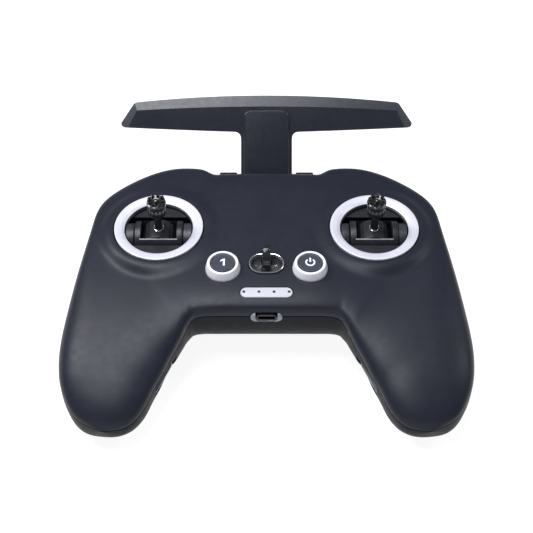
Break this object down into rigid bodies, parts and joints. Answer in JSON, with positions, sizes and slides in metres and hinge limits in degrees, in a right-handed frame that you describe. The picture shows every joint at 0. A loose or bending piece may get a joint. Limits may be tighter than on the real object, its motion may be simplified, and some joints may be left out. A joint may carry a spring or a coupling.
{
  "type": "radio transmitter controller",
  "caption": "Hand-held twin-stick radio transmitter with rounded grips, ringed control sticks, face buttons, strap loop, shoulder keys and a folding T-shaped aerial.",
  "frame": {"origin": "under the middle of the object's box, on the surface that it lies on", "axes": "+X to the user's right, +Y away from the user towards the aerial, +Z out of the control face"},
  "size_m": [0.1906, 0.1938, 0.0629],
  "materials": {
    "case": "soft-touch moulded, fine grain",
    "black_plastic": "satin moulded",
    "silver": "satin silver-white",
    "key": "satin",
    "steel": "turned",
    "chrome": "polished",
    "gloss_black": "polished",
    "circuit_board": "solder mask",
    "cell_wrap": "shrink film",
    "rubber": "moulded",
    "grey_plastic": "semi gloss"
  },
  "bodies": {
    "root": {"front_shell": "case", "rear_shell": "case", "left_stick_ring": "silver", "left_gimbal_housing": "black_plastic", "left_pitch_sensor": "circuit_board", "left_roll_sensor": "circuit_board", "right_stick_ring": "silver", "right_gimbal_housing": "black_plastic", "right_pitch_sensor": "circuit_board", "right_roll_sensor": "circuit_board", "custom_bezel": "silver", "power_bezel": "silver", "strap_recess": "gloss_black", "strap_rim": "chrome", "strap_bar": "gloss_black", "led_bar": "silver", "usb_trim": "grey_plastic", "usb_socket": "steel", "c2_switch_body": "black_plastic", "mode_switch_body": "black_plastic", "right_key_board": "circuit_board", "dial_shaft": "steel", "dial_bracket": "black_plastic", "left_slot_liner": "grey_plastic", "right_slot_liner": "grey_plastic", "button_board": "circuit_board", "main_board": "circuit_board", "left_cell": "cell_wrap", "right_cell": "cell_wrap", "cell_holder": "black_plastic", "left_rear_screw": "steel", "right_rear_screw": "steel", "left_handle_screw": "steel", "right_handle_screw": "steel", "hinge_pin": "steel", "left_hinge_cheek": "case", "left_hinge_washer": "rubber", "right_hinge_cheek": "case", "right_hinge_washer": "rubber"},
    "aerial": {"aerial_front_cover": "case", "aerial_rear_cover": "case", "aerial_board": "circuit_board", "aerial_coax": "black_plastic"},
    "left_pitch": {"left_pitch_yoke": "black_plastic"},
    "left_stick": {"left_roll_drum": "black_plastic", "left_stick_shaft": "black_plastic", "left_stick_cap": "black_plastic"},
    "right_pitch": {"right_pitch_yoke": "black_plastic"},
    "right_stick": {"right_roll_drum": "black_plastic", "right_stick_shaft": "black_plastic", "right_stick_cap": "black_plastic"},
    "custom_button": {"custom_button": "key"},
    "power_button": {"power_button": "key"},
    "pause_button": {"pause_button": "key"},
    "start_stop_button": {"start_stop_button": "key"},
    "record_button": {"record_button": "key"},
    "dial": {"dial_wheel": "key"},
    "c2_lever": {"c2_switch_lever": "key"},
    "mode_lever": {"mode_switch_lever": "key"}
  },
  "joints": [
    {"name": "aerial_fold", "type": "hinge", "parent": "root", "child": "aerial", "pos_m": [0, 0.05133, 0.0049], "axis": [1, 0, 0], "range_deg": [-227, 38]},
    {"name": "left_stick_pitch", "type": "hinge", "parent": "root", "child": "left_pitch", "pos_m": [-0.0523, 0.00413, 0.0345], "axis": [1, 0, 0], "range_deg": [-25, 25], "stiffness_Nm_per_rad": 0.05},
    {"name": "left_stick_roll", "type": "hinge", "parent": "left_pitch", "child": "left_stick", "pos_m": [-0.0523, 0.00413, 0.0345], "axis": [0, 1, 0], "range_deg": [-25, 25], "stiffness_Nm_per_rad": 0.05},
    {"name": "right_stick_pitch", "type": "hinge", "parent": "root", "child": "right_pitch", "pos_m": [0.0523, 0.00413, 0.0345], "axis": [1, 0, 0], "range_deg": [-25, 25], "stiffness_Nm_per_rad": 0.05},
    {"name": "right_stick_roll", "type": "hinge", "parent": "right_pitch", "child": "right_stick", "pos_m": [0.0523, 0.00413, 0.0345], "axis": [0, 1, 0], "range_deg": [-25, 25], "stiffness_Nm_per_rad": 0.05},
    {"name": "custom_button_press", "type": "slide", "parent": "root", "child": "custom_button", "axis": [0, 0, -1], "range_m": [0, 0.0006], "stiffness_N_per_m": 800},
    {"name": "power_button_press", "type": "slide", "parent": "root", "child": "power_button", "axis": [0, 0, -1], "range_m": [0, 0.0006], "stiffness_N_per_m": 800},
    {"name": "pause_button_press", "type": "slide", "parent": "root", "child": "pause_button", "axis": [0, -1, 0], "range_m": [0, 0.0008], "stiffness_N_per_m": 800},
    {"name": "start_stop_button_press", "type": "slide", "parent": "root", "child": "start_stop_button", "axis": [0, -1, 0], "range_m": [0, 0.0008], "stiffness_N_per_m": 800},
    {"name": "record_button_press", "type": "slide", "parent": "root", "child": "record_button", "axis": [-0.3827, -0.9239, 0], "range_m": [0, 0.0008], "stiffness_N_per_m": 800},
    {"name": "dial_turn", "type": "hinge", "parent": "root", "child": "dial", "pos_m": [-0.0544, 0.03965, 0.023], "axis": [0.9239, 0.3827, 0], "range_deg": [-35, 35], "stiffness_Nm_per_rad": 0.01},
    {"name": "c2_lever_slide", "type": "slide", "parent": "root", "child": "c2_lever", "axis": [0.7431, 0.6691, 0], "range_m": [-0.004, 0.004]},
    {"name": "mode_lever_slide", "type": "slide", "parent": "root", "child": "mode_lever", "axis": [0.7431, -0.6691, 0], "range_m": [-0.004, 0.004]}
  ]
}
